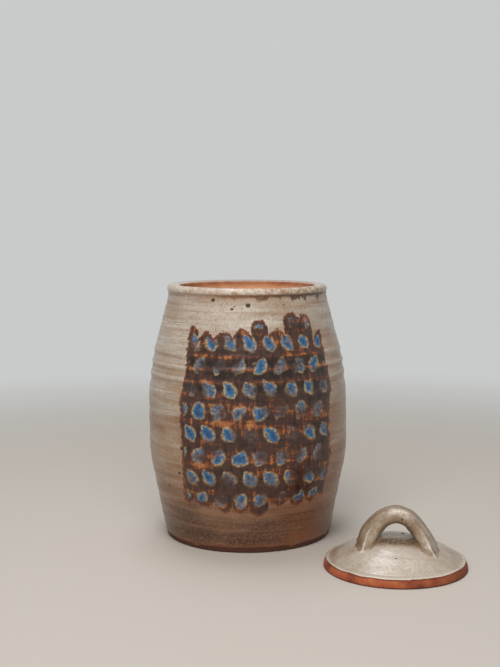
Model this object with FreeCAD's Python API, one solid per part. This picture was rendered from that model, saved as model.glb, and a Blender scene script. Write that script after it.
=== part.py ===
import FreeCAD, Part
import math
import os

# Stoneware biscuit jar with a loose domed lid, in millimetres.
# The origin is the centre of the jar's flat base, +Z is up and -Y is the front.
# The lid lies face up on the table, in front of the jar and to its right.

# Jar: heights are measured up from the base and drops down from the rim.
# Tapers are how much narrower than the belly the wall is at a place.
JAR_HEIGHT = 210.0
BELLY_RADIUS = 82.3
BELLY_HEIGHT = 97.0
BELLY_FLAT = 26.0
BELLY_TAPER = 0.5
LOWER_HEIGHT = 45.0
LOWER_TAPER = 5.1
FOOT_HEIGHT = 6.0
FOOT_TAPER = 12.6
BASE_BEVEL = 1.4
BASE_INSET = 2.5
SHOULDER_DROP = 60.0
SHOULDER_TAPER = 3.7
COLLAR_DROP = 35.0
COLLAR_SPREAD = 6.6
NECK_DROP = 9.0
LIP_OVERHANG = 0.8
LIP_ROLL = 3.8
LIP_FALL = 0.9
MOUTH_ROUND = 1.5
RIM_WIDTH = 9.6

# Throwing rings: shallow finger hollows between soft ridges, above the belly
RING_DROP = 53.0
RING_PITCH = 9.7
RING_HOLLOWS = 3
RING_DEPTH = 0.55

# Inside of the jar, and the gallery that carries the lid
WALL = 6.5
FLOOR = 8.0
FLOOR_ROUND = 12.0
GALLERY_DEPTH = 8.0
LEDGE_WIDTH = 6.5
LEDGE_NOSE = 4.7
LEDGE_CHAMFER = 1.0
LEDGE_UNDERCUT = 2.0
INSIDE_STATIONS = 5

# Lid: a domed disc with a bare edge, hollow underneath
LID_RADIUS = 54.3
LID_CLEARANCE = 1.6
LID_EDGE = 6.3
LID_EDGE_DRAFT = 1.9
LID_EDGE_BULGE = 0.5
LID_BEAD_HEIGHT = 1.1
LID_BEAD_WIDTH = 2.6
LID_BEAD_CROWN = 1.0
LID_HEIGHT = 24.0
LID_RIM = 8.0
LID_WALL = 6.5

# Place of the lid on the table: its gap to the belly, and its bearing from the jar
LID_GAP = 14.8
LID_BEARING = -42.6
LID_TURN = -6.0

# Handle: a pulled strap that arches over the lid, with roots pressed out wide.
# Its inner and outer faces are two arches. Their reaches are counted from the strap's
# own middle, which lies a little to the right of the lid's.
STRAP_WIDTH = 21.0
STRAP_THICKNESS = 11.8
STRAP_RISE = 22.2
STRAP_OFFSET = 1.5
STRAP_SQUARENESS = 2.4
INNER_SQUARENESS = 1.5
OUTER_SQUARENESS = 1.5
GROOVES = 3
GROOVE_DEPTH = 0.5
ROOT_SINK = 6.0
ROOT_FLARE = 6.0
LEFT_INNER_REACH = 18.5
LEFT_OUTER_REACH = 32.5
LEFT_ROOT_WIDTH = 36.0
LEFT_ROOT_LEAN = 3.0
RIGHT_INNER_REACH = 19.0
RIGHT_OUTER_REACH = 35.0
RIGHT_ROOT_WIDTH = 38.0
RIGHT_ROOT_LEAN = 6.0
STRAP_STATIONS = 11
SECTION_POINTS = 36

# Halvings in the search for a height on a curve
SEARCH_STEPS = 50

# Sizes that follow from the ones above
MOUTH_RADIUS = LID_RADIUS + LID_CLEARANCE
LEDGE_RADIUS = MOUTH_RADIUS - LEDGE_WIDTH
LEDGE_HEIGHT = JAR_HEIGHT - GALLERY_DEPTH
NECK_RADIUS = MOUTH_RADIUS + RIM_WIDTH
FOOT_RADIUS = BELLY_RADIUS - FOOT_TAPER
BASE_RADIUS = FOOT_RADIUS - BASE_INSET
LID_TOP_RADIUS = LID_RADIUS - LID_EDGE_DRAFT
DOME_RADIUS = LID_TOP_RADIUS - LID_BEAD_WIDTH
HOLLOW_RADIUS = LID_RADIUS - LID_RIM
HOLLOW_HEIGHT = LID_HEIGHT - LID_WALL
LID_DISTANCE = BELLY_RADIUS + LID_GAP + LID_RADIUS


def at(radius, height):
    """Return the point at a radius and a height in the plane that is turned."""
    return FreeCAD.Vector(radius, 0, height)


def line(start, end):
    """Return the straight edge between two points."""
    return Part.LineSegment(start, end).toShape()


def arc(start, middle, end):
    """Return the arc through three points."""
    return Part.Arc(start, middle, end).toShape()


def corner_arc(centre_radius, centre_height, size, from_angle, to_angle):
    """Return a rounded corner as an arc about its centre, with its angles in degrees."""
    def point(angle):
        turn = math.radians(angle)
        return at(centre_radius + size * math.cos(turn), centre_height + size * math.sin(turn))

    return arc(point(from_angle), point((from_angle + to_angle) / 2), point(to_angle))


def spline(points):
    """Return the smooth curve through the points."""
    curve = Part.BSplineCurve()
    curve.interpolate(points)
    return curve


def turned(edges):
    """Return the solid that a closed outline makes when it is turned about Z.

    Its seam is moved to the back, where nothing is joined to it.
    """
    face = Part.Face(Part.Wire(edges))
    face.rotate(FreeCAD.Vector(0, 0, 0), FreeCAD.Vector(0, 0, 1), 90)
    return face.revolve(FreeCAD.Vector(0, 0, 0), FreeCAD.Vector(0, 0, 1), 360)


def parameter_at_height(curve, height):
    """Return the place on a rising curve where it reaches a height."""
    low = curve.FirstParameter
    high = curve.LastParameter
    for _ in range(SEARCH_STEPS):
        middle = (low + high) / 2
        if curve.value(middle).z < height:
            low = middle
        else:
            high = middle
    return (low + high) / 2


def wall_curve():
    """Return the smooth outer wall, from the foot up to the neck."""
    return spline([
        at(FOOT_RADIUS, FOOT_HEIGHT),
        at(BELLY_RADIUS - LOWER_TAPER, LOWER_HEIGHT),
        at(BELLY_RADIUS - BELLY_TAPER, BELLY_HEIGHT - BELLY_FLAT),
        at(BELLY_RADIUS, BELLY_HEIGHT),
        at(BELLY_RADIUS - BELLY_TAPER, BELLY_HEIGHT + BELLY_FLAT),
        at(BELLY_RADIUS - SHOULDER_TAPER, JAR_HEIGHT - SHOULDER_DROP),
        at(NECK_RADIUS + COLLAR_SPREAD, JAR_HEIGHT - COLLAR_DROP),
        at(NECK_RADIUS, JAR_HEIGHT - NECK_DROP),
    ])


def ringed_wall(wall):
    """Return the edges of the outer wall, with its throwing rings."""
    ring_top = JAR_HEIGHT - RING_DROP
    heights = [ring_top - RING_PITCH * count for count in range(RING_HOLLOWS, -1, -1)]
    first = parameter_at_height(wall, heights[0])
    last = parameter_at_height(wall, heights[-1])
    edges = [wall.toShape(wall.FirstParameter, first)]
    for low, high in zip(heights, heights[1:]):
        start = wall.value(parameter_at_height(wall, low))
        middle = wall.value(parameter_at_height(wall, (low + high) / 2))
        end = wall.value(parameter_at_height(wall, high))
        edges.append(arc(start, middle - at(RING_DEPTH, 0), end))
    edges.append(wall.toShape(last, wall.LastParameter))
    return edges


def jar_rim():
    """Return the edges of the rolled lip, from the neck over to the mouth."""
    roll_radius = NECK_RADIUS + LIP_OVERHANG - LIP_ROLL
    roll_height = JAR_HEIGHT - LIP_ROLL
    roll_start = -math.degrees(math.acos(1 - LIP_OVERHANG / LIP_ROLL))
    roll_foot = at(NECK_RADIUS, roll_height + LIP_ROLL * math.sin(math.radians(roll_start)))
    round_height = JAR_HEIGHT - LIP_FALL - MOUTH_ROUND
    return [
        line(at(NECK_RADIUS, JAR_HEIGHT - NECK_DROP), roll_foot),
        corner_arc(roll_radius, roll_height, LIP_ROLL, roll_start, 90),
        line(at(roll_radius, JAR_HEIGHT), at(MOUTH_RADIUS + MOUTH_ROUND, JAR_HEIGHT - LIP_FALL)),
        corner_arc(MOUTH_RADIUS + MOUTH_ROUND, round_height, MOUTH_ROUND, 90, 180),
        line(at(MOUTH_RADIUS, round_height), at(MOUTH_RADIUS, LEDGE_HEIGHT)),
    ]


def jar_inside(wall, floor_middle):
    """Return the edges from the gallery's ledge down to the middle of the floor."""
    ledge_edge = at(LEDGE_RADIUS + LEDGE_CHAMFER, LEDGE_HEIGHT)
    nose_top = at(LEDGE_RADIUS, LEDGE_HEIGHT - LEDGE_CHAMFER)
    nose_foot = at(LEDGE_RADIUS, LEDGE_HEIGHT - LEDGE_NOSE)
    low = FLOOR + FLOOR_ROUND
    high = JAR_HEIGHT - COLLAR_DROP
    inner = []
    for count in range(INSIDE_STATIONS):
        height = low + (high - low) * count / (INSIDE_STATIONS - 1)
        inner.append(wall.value(parameter_at_height(wall, height)) - at(WALL, 0))
    under_ledge = (nose_foot + inner[-1]) / 2 + at(LEDGE_UNDERCUT, 0)
    floor_edge = inner[0].x - FLOOR_ROUND
    return [
        line(at(MOUTH_RADIUS, LEDGE_HEIGHT), ledge_edge),
        line(ledge_edge, nose_top),
        line(nose_top, nose_foot),
        arc(nose_foot, under_ledge, inner[-1]),
        spline(inner).toShape(),
        corner_arc(floor_edge, low, FLOOR_ROUND, 0, -90),
        line(at(floor_edge, FLOOR), floor_middle),
    ]


def jar_body():
    """Return the thrown jar: a barrel with a rolled lip and a gallery inside its mouth."""
    wall = wall_curve()
    bevel_top = at(BASE_RADIUS + BASE_BEVEL, BASE_BEVEL)
    floor_middle = at(0, FLOOR)
    outline = [
        line(at(0, 0), at(BASE_RADIUS, 0)),
        line(at(BASE_RADIUS, 0), bevel_top),
        line(bevel_top, at(FOOT_RADIUS, FOOT_HEIGHT)),
    ]
    outline += ringed_wall(wall)
    outline += jar_rim()
    outline += jar_inside(wall, floor_middle)
    outline.append(line(floor_middle, at(0, 0)))
    return turned(outline)


def dome_height(radius, edge_radius, edge_height, top_height):
    """Return the height of a round dome at a radius."""
    rise = top_height - edge_height
    sphere = (edge_radius ** 2 + rise ** 2) / (2 * rise)
    return top_height - sphere + math.sqrt(sphere ** 2 - radius ** 2)


def dome_arc(edge_radius, edge_height, top_height):
    """Return the arc of a round dome, from its edge up to its middle."""
    half = edge_radius / 2
    middle = at(half, dome_height(half, edge_radius, edge_height, top_height))
    return arc(at(edge_radius, edge_height), middle, at(0, top_height))


def lid_blank():
    """Return the lid without its hollow, about its own middle."""
    edge_middle = at(LID_RADIUS - LID_EDGE_DRAFT / 2 + LID_EDGE_BULGE, LID_EDGE / 2)
    bead_crown = at(LID_TOP_RADIUS - LID_BEAD_CROWN, LID_EDGE + LID_BEAD_HEIGHT)
    return turned([
        line(at(0, 0), at(LID_RADIUS, 0)),
        arc(at(LID_RADIUS, 0), edge_middle, at(LID_TOP_RADIUS, LID_EDGE)),
        line(at(LID_TOP_RADIUS, LID_EDGE), bead_crown),
        line(bead_crown, at(DOME_RADIUS, LID_EDGE)),
        dome_arc(DOME_RADIUS, LID_EDGE, LID_HEIGHT),
        line(at(0, LID_HEIGHT), at(0, 0)),
    ])


def lid_hollow():
    """Return the space under the lid's dome."""
    return turned([
        line(at(0, 0), at(HOLLOW_RADIUS, 0)),
        dome_arc(HOLLOW_RADIUS, 0, HOLLOW_HEIGHT),
        line(at(0, HOLLOW_HEIGHT), at(0, 0)),
    ])


def arch_point(reach, crown, squareness, angle):
    """Return a point of one of the strap's arches, at an angle round it in degrees."""
    turn = math.radians(angle)
    outward = abs(math.cos(turn)) ** (2 / squareness)
    upward = abs(math.sin(turn)) ** (2 / squareness)
    foot = dome_height(STRAP_OFFSET + reach, DOME_RADIUS, LID_EDGE, LID_HEIGHT) - ROOT_SINK
    return at(STRAP_OFFSET + reach * outward, foot + (crown - foot) * upward)


def strap_section(angle):
    """Return the closed outline of the strap at an angle round its arches in degrees.

    It is grooved along its outer face, and starts in the middle of its plain inner face.
    """
    if angle > 90:
        inner_reach, outer_reach = -LEFT_INNER_REACH, -LEFT_OUTER_REACH
        root_width, root_lean = LEFT_ROOT_WIDTH, LEFT_ROOT_LEAN
    else:
        inner_reach, outer_reach = RIGHT_INNER_REACH, RIGHT_OUTER_REACH
        root_width, root_lean = RIGHT_ROOT_WIDTH, RIGHT_ROOT_LEAN
    crown = LID_HEIGHT + STRAP_RISE
    inner = arch_point(inner_reach, crown - STRAP_THICKNESS, INNER_SQUARENESS, angle)
    outer = arch_point(outer_reach, crown, OUTER_SQUARENESS, angle)
    middle = (inner + outer) / 2
    through = outer - inner
    outwards = through / through.Length
    flare = abs(math.cos(math.radians(angle))) ** ROOT_FLARE
    width = STRAP_WIDTH + (root_width - STRAP_WIDTH) * flare
    points = []
    for count in range(SECTION_POINTS):
        turn = 2 * math.pi * count / SECTION_POINTS - math.pi / 2
        side = math.copysign(abs(math.cos(turn)) ** (2 / STRAP_SQUARENESS), math.cos(turn)) / 2
        face = math.copysign(abs(math.sin(turn)) ** (2 / STRAP_SQUARENESS), math.sin(turn)) / 2
        point = middle + through * face
        if face > 0:
            groove = GROOVE_DEPTH * (1 - math.cos(2 * math.pi * GROOVES * (side + 0.5))) / 2
            point -= outwards * groove
        points.append(point + FreeCAD.Vector(0, width * side - root_lean * flare, 0))
    curve = Part.BSplineCurve()
    curve.interpolate(Points=points, PeriodicFlag=True)
    return Part.Wire(curve.toShape())


def strap():
    """Return the whole strap about the lid's middle, with its roots run into the lid."""
    step = 180 / (STRAP_STATIONS - 1)
    return Part.makeLoft([strap_section(180 - step * count) for count in range(STRAP_STATIONS)], True)


def on_table(shape):
    """Return a shape of the lid at the lid's place beside the jar."""
    bearing = math.radians(LID_BEARING)
    centre = FreeCAD.Vector(LID_DISTANCE * math.cos(bearing), LID_DISTANCE * math.sin(bearing), 0)
    placed = shape.copy()
    placed.rotate(FreeCAD.Vector(0, 0, 0), FreeCAD.Vector(0, 0, 1), LID_TURN)
    placed.translate(centre)
    return placed


def lid_disc():
    """Return the domed disc of the lid, with its flat bearing rim."""
    return on_table(lid_blank().cut(lid_hollow()))


def lid_handle():
    """Return the strap, ending where its roots are pressed on to the dome."""
    return on_table(strap().cut(lid_blank()))


def main():
    """Write each piece to its own STEP file."""
    os.makedirs("parts", exist_ok=True)
    pieces = {"jar_body": jar_body(), "lid_disc": lid_disc(), "lid_handle": lid_handle()}
    for name, shape in pieces.items():
        shape.exportStep(os.path.join("parts", name + ".step"))
        box = shape.BoundBox
        print(name, "valid", shape.isValid(), "solids", len(shape.Solids),
              "volume", round(shape.Volume), "size", round(box.XLength, 1), round(box.YLength, 1),
              round(box.ZLength, 1))


if __name__ == "__main__":
    main()
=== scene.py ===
"""A hand-thrown stoneware biscuit jar, with its domed lid lying beside it.

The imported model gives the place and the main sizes. This script makes the thrown and pulled
clay again as fine meshes, gives them their glazes, and sets up a plain studio round them.
All lengths are in metres, but for names that end in _mm and the beads' tables, which are in
millimetres. The jar stands on the origin, +Z is up and -Y is the front.
"""

from __future__ import annotations

import logging
import math
from dataclasses import dataclass, field
from enum import Enum

import bmesh
import bpy
from mathutils import Euler, Matrix, Vector, noise
from mathutils.bvhtree import BVHTree
from mathutils.geometry import interpolate_bezier

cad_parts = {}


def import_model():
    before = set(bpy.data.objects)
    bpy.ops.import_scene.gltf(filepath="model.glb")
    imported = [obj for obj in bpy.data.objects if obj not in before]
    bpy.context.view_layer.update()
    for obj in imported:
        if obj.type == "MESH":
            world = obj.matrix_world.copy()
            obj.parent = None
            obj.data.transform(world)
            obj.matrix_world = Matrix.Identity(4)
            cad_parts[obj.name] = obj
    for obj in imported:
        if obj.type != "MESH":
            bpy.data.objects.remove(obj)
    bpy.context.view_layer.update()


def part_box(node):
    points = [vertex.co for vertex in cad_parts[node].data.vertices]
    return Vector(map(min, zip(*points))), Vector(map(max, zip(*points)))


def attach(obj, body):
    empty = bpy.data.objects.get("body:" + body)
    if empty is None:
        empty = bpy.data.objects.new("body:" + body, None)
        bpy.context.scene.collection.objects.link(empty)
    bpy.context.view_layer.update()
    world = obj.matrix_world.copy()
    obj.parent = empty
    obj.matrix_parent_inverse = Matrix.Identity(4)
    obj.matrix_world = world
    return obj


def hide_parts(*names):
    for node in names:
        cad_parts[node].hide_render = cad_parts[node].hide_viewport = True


LOG = logging.getLogger("biscuit_jar")
MM = 0.001

Colour = tuple[float, float, float, float]
Socket = bpy.types.NodeSocket
Material = bpy.types.Material
Piece = bpy.types.Object
Triple = tuple[float, float, float]
BeadSpot = tuple[float, float, float, float]

# Each bead on the wall: degrees to the right of the front, its height and its width in millimetres.
JAR_BEADS = (
    (-23.6, 200.0, 3.4),
    (0.7, 196.0, 3.8),
    (-10.0, 193.3, 2.4),
    (-8.4, 195.2, 1.4),
    (34.7, 185.3, 2.9),
    (25.5, 196.0, 1.3),
    (-38.5, 161.6, 2.2),
    (-42.0, 62.9, 2.8),
    (-53.7, 50.0, 2.4),
    (118.0, 171.0, 2.6),
    (160.0, 96.0, 3.0),
    (-128.0, 130.0, 2.4),
    (-165.0, 188.0, 2.2),
)
# Each bead on the lid and on the strap: its place over the lid's middle and its width in millimetres.
LID_BEADS = ((5.7, 7.5, 23.3, 2.6), (-0.4, -34.0, 16.3, 1.5), (38.0, 22.0, 12.0, 1.8))
STRAP_BEADS = ((4.5, -10.6, 38.8, 1.9), (28.8, -20.5, 18.1, 1.6), (-28.5, -18.5, 17.0, 1.4))


def hex_colour(code: str) -> Colour:
    """Turn an sRGB hex colour into a linear one.

    Args:
        code: six hex digits, with or without a leading mark.

    Returns:
        Linear red, green, blue and an alpha of 1.
    """
    digits = code.lstrip("#")
    parts = [int(digits[place:place + 2], 16) / 255 for place in (0, 2, 4)]
    linear = [part / 12.92 if part <= 0.04045 else ((part + 0.055) / 1.055) ** 2.4 for part in parts]
    return (linear[0], linear[1], linear[2], 1.0)


def grain(size_mm: float) -> float:
    """Return the texture scale that makes a pattern's feature about this many millimetres wide."""
    return 1.0 / (size_mm * MM)


class Nodes:
    """A node tree that is filled from empty, with one way to add to it."""

    def __init__(self, owner: Material | bpy.types.World) -> None:
        """Take the owner's node tree and clear it."""
        owner.use_nodes = True
        self.tree = owner.node_tree
        self.tree.nodes.clear()

    def add(self, kind: str, *values: object, output: int | str = 0, **settings: object) -> Socket | None:
        """Add one shader node with its settings, values and links.

        Args:
            kind: the node's type, without the words ShaderNode, and its operation where it has one.
            *values: what its first inputs get: a value, a hex colour or the output that feeds it.
            output: the output to return, by number or name.
            **settings: with a capital letter, more inputs by name. The others are the node's own
                properties, and stops fill a colour ramp.

        Returns:
            The output socket, or None for a node that has none.
        """
        kind, _, operation = kind.partition(" ")
        node = self.tree.nodes.new("ShaderNode" + kind)
        if operation:
            node.operation = operation
        inputs = dict(enumerate(values))
        for name, value in settings.items():
            if name[0].isupper():
                inputs[name.replace("_", " ")] = value
            elif name == "stops":
                ramp = node.color_ramp.elements
                while len(ramp) < len(value):
                    ramp.new(1.0)
                for element, (share, colour) in zip(ramp, value):
                    element.position = share
                    element.color = hex_colour(colour)
            else:
                setattr(node, name, value)
        for key, value in inputs.items():
            if isinstance(value, Socket):
                self.tree.links.new(value, node.inputs[key])
            else:
                node.inputs[key].default_value = hex_colour(value) if isinstance(value, str) else value
        return node.outputs[output] if node.outputs else None


class Finish:
    """A material that is built from the point on the piece and from marks kept on its mesh."""

    def __init__(self, name: str) -> None:
        """Start an empty material and read the point on the piece.

        Args:
            name: the material's name.
        """
        self.material = bpy.data.materials.new(name)
        self.nodes = Nodes(self.material)
        self.place = self.nodes.add("TexCoord", output="Object")
        self.x, self.y, self.z = [
            self.nodes.add("SeparateXYZ", self.place, output=axis) for axis in ("X", "Y", "Z")
        ]

    def mark(self, name: str) -> Socket:
        """Return a mark that the mesh keeps, by its name."""
        return self.nodes.add("Attribute", output="Fac", attribute_name=name)

    def specks(self, spacing_mm: float, rarity: float, size: float) -> Socket:
        """Scatter small dark specks, some larger than others.

        Args:
            spacing_mm: about how far apart the places are where one may lie.
            rarity: the share of those places that stay empty.
            size: the largest speck, as a share of the spacing.

        Returns:
            1 on a speck and 0 off it.
        """
        add = self.nodes.add
        cells = {"Vector": self.place, "Scale": grain(spacing_mm)}
        middle = add("TexVoronoi", **cells)
        tints = add("TexVoronoi", output="Color", **cells)
        chance = add("SeparateColor", tints, output="Red")
        reach = add("MapRange", chance, rarity, 1, 0, size)
        inside = add("Math SUBTRACT", reach, middle)
        return add("MapRange", inside, 0, 0.05, 0, 0.85)

    def coat(self, colour: Socket, rough: Socket | float, height: Socket, depth_mm: float) -> Material:
        """Join the colour, gloss and fine relief to the shader.

        Args:
            colour: the finished colour.
            rough: the roughness.
            height: the fine relief, from 0 to 1.
            depth_mm: how deep that relief is.

        Returns:
            The finished material.
        """
        add = self.nodes.add
        bump = add("Bump", Strength=0.5, Distance=depth_mm * MM, Height=height)
        skin = add("BsdfPrincipled", Base_Color=colour, Roughness=rough, Normal=bump, IOR=1.5)
        add("OutputMaterial", Surface=skin)
        return self.material


def smooth_curve(knots: list[Vector], spacing: float) -> list[Vector]:
    """Return points along a smooth curve through the knots.

    Args:
        knots: the points that the curve passes through.
        spacing: about how far apart the returned points are.

    Returns:
        The points, with both ends.
    """
    slopes = []
    for count in range(len(knots)):
        before = knots[max(count - 1, 0)]
        after = knots[min(count + 1, len(knots) - 1)]
        slopes.append((after - before).normalized())
    points = [knots[0].copy()]
    for start, end, leave, arrive in zip(knots, knots[1:], slopes, slopes[1:]):
        reach = (end - start).length
        steps = max(int(reach / spacing), 1) + 1
        bend = interpolate_bezier(start, start + leave * reach / 3, end - arrive * reach / 3, end, steps)
        points.extend(bend[1:])
    return points


def arc_points(centre: Vector, size: float, start: float, end: float, steps: int) -> list[Vector]:
    """Return points on an arc in the plane that is spun.

    Args:
        centre: the arc's centre.
        size: its radius.
        start: its first angle in degrees, from the outward direction.
        end: its last angle in degrees.
        steps: how many pieces it is cut into.

    Returns:
        The points, with both ends.
    """
    points = []
    for count in range(steps + 1):
        angle = math.radians(start + (end - start) * count / steps)
        points.append(centre + Vector((size * math.cos(angle), 0, size * math.sin(angle))))
    return points


def straight_points(start: Vector, end: Vector, spacing: float) -> list[Vector]:
    """Return points along a straight line, about one spacing apart, with both ends."""
    steps = max(int((end - start).length / spacing), 1)
    return [start.lerp(end, count / steps) for count in range(steps + 1)]


def run_lengths(points: list[Vector]) -> list[float]:
    """Measure how far along an outline its points lie.

    Args:
        points: the outline.

    Returns:
        The distance from the first point, for each point.
    """
    runs = [0.0]
    for before, after in zip(points, points[1:]):
        runs.append(runs[-1] + (after - before).length)
    return runs


def place(radius: float, height: float) -> Vector:
    """Return a point in the plane that is spun, from its radius and height."""
    return Vector((radius, 0, height))


def ease(value: float, low: float, high: float) -> float:
    """Return how far a value has gone from low to high, from 0 to 1, with soft ends."""
    share = min(max((value - low) / (high - low), 0.0), 1.0)
    return share * share * (3 - 2 * share)


def bell(distance: float, width: float) -> float:
    """Return a soft bump that is 1 at no distance and fades over a width."""
    return math.exp(-((distance / width) ** 2))


def wander(x: float, y: float, z: float) -> float:
    """Return smooth noise between about -1 and 1."""
    return noise.noise(Vector((x, y, z)))


def spun(points: list[Vector], marks: list[float], steps: int, mark_name: str) -> bmesh.types.BMesh:
    """Spin an outline about Z into a closed skin.

    Args:
        points: the outline, from the axis round to the axis again.
        marks: one number for each point, which its whole ring keeps.
        steps: how many pieces the circle is cut into.
        mark_name: the name of the attribute that holds the numbers.

    Returns:
        The skin as a bmesh.
    """
    mesh = bmesh.new()
    layer = mesh.verts.layers.float.new(mark_name)
    corners = []
    for point, mark in zip(points, marks):
        corner = mesh.verts.new(point)
        corner[layer] = mark
        corners.append(corner)
    edges = [mesh.edges.new(pair) for pair in zip(corners, corners[1:])]
    bmesh.ops.spin(
        mesh,
        geom=corners + edges,
        cent=(0, 0, 0),
        axis=(0, 0, 1),
        dvec=(0, 0, 0),
        angle=math.tau,
        steps=steps,
        use_merge=True,
        use_duplicate=False,
    )
    bmesh.ops.remove_doubles(mesh, verts=mesh.verts, dist=1e-6)
    bmesh.ops.recalc_face_normals(mesh, faces=mesh.faces)
    return mesh


def finished(mesh: bmesh.types.BMesh, name: str, material: Material) -> Piece:
    """Turn a bmesh into a smooth object at the origin.

    Args:
        mesh: the bmesh, which is freed.
        name: the object's name.
        material: its finish.

    Returns:
        The object.
    """
    data = bpy.data.meshes.new(name)
    mesh.to_mesh(data)
    mesh.free()
    data.shade_smooth()
    data.materials.append(material)
    piece = bpy.data.objects.new(name, data)
    bpy.context.scene.collection.objects.link(piece)
    return piece


class Root(Enum):
    """The two ends of the strap handle."""

    LEFT = -1
    RIGHT = 1


@dataclass(frozen=True)
class BrushedPanel:
    """Iron slip brushed on the jar's front, with blue leaf dabs in a herringbone.

    Each upright stroke has its own ragged ends, and each leaf is one touch of a loaded brush.
    """

    radius: float = 0.082
    centre: float = 0.0103
    half_width: float = 0.0655
    stroke: float = 0.0158
    top: float = 0.1925
    bottom: float = 0.029
    row: float = 0.0176
    column: float = 0.0166
    leaf_length: float = 0.0063
    leaf_width: float = 0.0038
    leaf_slant: float = 34.0
    leaf_shake: float = 0.0040
    sway: float = 0.006
    fray: float = 0.006
    tip_spread: float = 0.017
    tip_bow: float = 0.022
    toe_spread: float = 0.016
    toe_bow: float = 0.018
    dark: str = "#1b0e0a"
    iron: str = "#321c12"
    mauve: str = "#442b25"
    rust: str = "#844620"
    ochre: str = "#a27546"
    halo: str = "#b49a72"
    blue_deep: str = "#1b3a59"
    blue: str = "#26517a"
    blue_pale: str = "#467492"
    blue_milk: str = "#7b9aa4"

    def paint(self, finish: Finish, under: Socket, rings: Socket) -> tuple[Socket, Socket]:
        """Lay the brushed iron and the leaves over the glaze.

        Args:
            finish: the material that they go into.
            under: the colour of the glaze.
            rings: how far the throwing rings stand out.

        Returns:
            The colour, and where the iron lies.
        """
        add = finish.nodes.add
        front = add("Math MULTIPLY", finish.y, -1)
        turn = add("Math ARCTAN2", finish.x, front)
        across = add("Math MULTIPLY_ADD", turn, self.radius, -self.centre)
        worn = add("TexNoise", Vector=finish.place, Scale=grain(2.3), Detail=4, Roughness=0.72)
        depth, gaps = self.strokes(finish, across, worn)
        mask = add("MapRange", depth, -0.0003, 0.0005, 0, 1)
        ground = self.ground(finish, rings, gaps)
        rim = add("MapRange", depth, 0.003, 0, 0, 0.55)
        ground = add("MixRGB", rim, ground, self.rust)
        ironed = add("MixRGB", mask, under, ground)
        leaf = self.leaves(finish, across)
        uneven = add("Math SUBTRACT", worn, 0.5)
        leaf = add("Math MULTIPLY_ADD", uneven, 0.9, leaf)
        # The leaves show only where the brush was loaded, and each has a pale halo.
        patches = add("TexNoise", Vector=finish.place, Scale=grain(21), Detail=2)
        strong = add("MapRange", patches, 0.4, 0.56, 0.08, 1)
        deep = add("MapRange", depth, 0.003, 0.0048, 0, 1)
        strong = add("Math MULTIPLY", strong, deep)
        pool = add("MapRange", leaf, 1.75, 1.3, 0, 0.85)
        crumbs = add("MapRange", worn, 0.4, 0.58, 0.1, 1)
        pool = add("Math MULTIPLY", pool, crumbs)
        pool = add("Math MULTIPLY", pool, strong)
        ringed = add("MixRGB", pool, ironed, self.halo)
        heart = add("MapRange", leaf, 1.1, 0.9, 0, 1)
        dab = add("Math MULTIPLY", heart, strong)
        shade = add("Math MULTIPLY_ADD", worn, 0.5, 0.25)
        shade = add("Math MULTIPLY_ADD", leaf, 0.22, shade)
        blue = add(
            "ValToRGB", shade,
            stops=[
                (0.42, self.iron), (0.5, self.blue_deep), (0.6, self.blue), (0.76, self.blue_pale),
                (0.9, self.blue_milk),
            ],
        )
        return add("MixRGB", dab, ringed, blue), mask

    def strokes(self, finish: Finish, across: Socket, worn: Socket) -> tuple[Socket, Socket]:
        """Find where the upright strokes of the brush lie.

        Args:
            finish: the material that they go into.
            across: the distance round the jar from the panel's middle.
            worn: fine noise.

        Returns:
            How deep a point lies inside the iron, and where two strokes leave a gap.
        """
        add = finish.nodes.add
        sway = add("TexNoise", Vector=finish.place, Scale=grain(34), Detail=1)
        sway = add("MapRange", sway, 0, 1, -self.sway, self.sway)
        swayed = add("Math ADD", across, sway)
        strip = add("Math DIVIDE", swayed, self.stroke)
        index = add("Math ROUND", strip)
        off = add("Math SUBTRACT", strip, index)
        bow = add("Math MULTIPLY", off, off)
        chances = add("TexWhiteNoise", W=index, output="Color", noise_dimensions="1D")
        first = add("SeparateColor", chances, output="Red")
        second = add("SeparateColor", chances, output="Green")
        ragged = add("TexNoise", Vector=finish.place, Scale=grain(5), Detail=5, Roughness=0.75)
        ragged = add("MapRange", ragged, 0, 1, -self.fray, self.fray)
        height = add("Math ADD", finish.z, ragged)
        tip = add("MapRange", first, 0, 1, self.top - self.tip_spread, self.top)
        tip = add("Math MULTIPLY_ADD", bow, -self.tip_bow, tip)
        toe_top = self.bottom + self.toe_spread
        toe = add("MapRange", second, 0, 1, self.bottom, toe_top)
        toe = add("Math MULTIPLY_ADD", bow, self.toe_bow, toe)
        below = add("Math SUBTRACT", tip, height)
        above = add("Math SUBTRACT", height, toe)
        wide = add("Math ABSOLUTE", swayed)
        wide = add("Math ADD", wide, ragged)
        beside = add("Math SUBTRACT", self.half_width, wide)
        depth = add("Math MINIMUM", below, above)
        depth = add("Math MINIMUM", depth, beside)
        edge = add("Math ABSOLUTE", off)
        edge = add("Math ADD", edge, worn)
        gaps = add("MapRange", edge, 0.93, 1.06, 0, 0.45)
        return depth, gaps

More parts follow.
